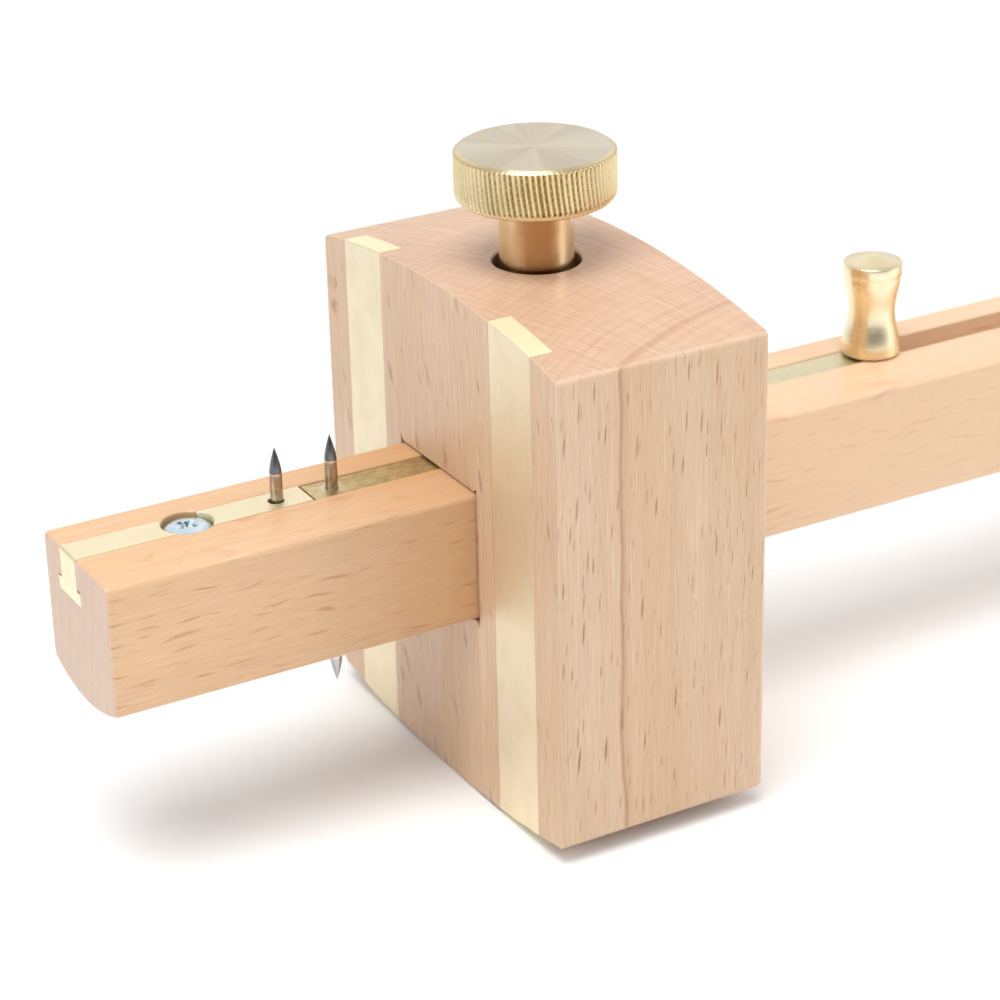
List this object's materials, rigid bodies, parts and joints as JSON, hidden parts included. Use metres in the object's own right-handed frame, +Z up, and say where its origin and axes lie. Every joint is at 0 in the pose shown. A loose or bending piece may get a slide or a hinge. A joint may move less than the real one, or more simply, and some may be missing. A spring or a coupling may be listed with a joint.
{
  "type": "marking gauge",
  "caption": "Combination mortise and marking gauge: beech stock with brass wear strips, sliding beech stem, scribing pins, pull slide with knob, and a knurled brass thumbscrew.",
  "frame": {"origin": "where the stem's centre line crosses the fence face of the stock", "axes": "+X along the stem from the fence towards the tail, +Z up along the thumbscrew, +Y across the stock away from the side that faces the viewer"},
  "size_m": [0.23, 0.06, 0.0835],
  "materials": {
    "stock_beech": "sanded beech, grain upright, thin clear finish",
    "stem_beech": "sanded beech, grain along the stem, thin clear finish",
    "strip_brass": "brushed",
    "slide_brass": "drawn, slightly dull",
    "turned_brass": "turned and lightly polished",
    "inner_brass": "as machined",
    "zinc_steel": "bright zinc plate",
    "pin_steel": "hardened and ground"
  },
  "bodies": {
    "stock_body": {"stock": "stock_beech", "wear_strip_near": "strip_brass", "wear_strip_far": "strip_brass", "thread_bush": "inner_brass"},
    "stem_body": {"stem": "stem_beech", "end_inlay": "strip_brass", "inlay_screw": "zinc_steel", "fixed_pin": "pin_steel", "marking_pin": "pin_steel"},
    "slide_body": {"slide_bar": "slide_brass", "moving_pin": "pin_steel", "pull_knob": "turned_brass"},
    "pad_body": {"thrust_pad": "inner_brass"},
    "screw_body": {"thumbscrew": "turned_brass"}
  },
  "joints": [
    {"name": "stem_slide", "type": "slide", "parent": "stock_body", "child": "stem_body", "axis": [1, 0, 0], "range_m": [-0.034, 0.0025]},
    {"name": "pull_slide", "type": "slide", "parent": "stem_body", "child": "slide_body", "axis": [1, 0, 0], "range_m": [0, 0.01]},
    {"name": "pad_lift", "type": "slide", "parent": "stock_body", "child": "pad_body", "axis": [0, 0, 1], "range_m": [0, 0.005]},
    {"name": "thumbscrew_turn", "type": "hinge", "parent": "pad_body", "child": "screw_body", "pos_m": [0.015, 0, 0.035], "axis": [0, 0, 1], "range_deg": [0, 1440]}
  ],
  "couplings": [
    {"joint": "thumbscrew_turn", "follows": "pad_lift", "rad_per_m": 5026.5}
  ]
}
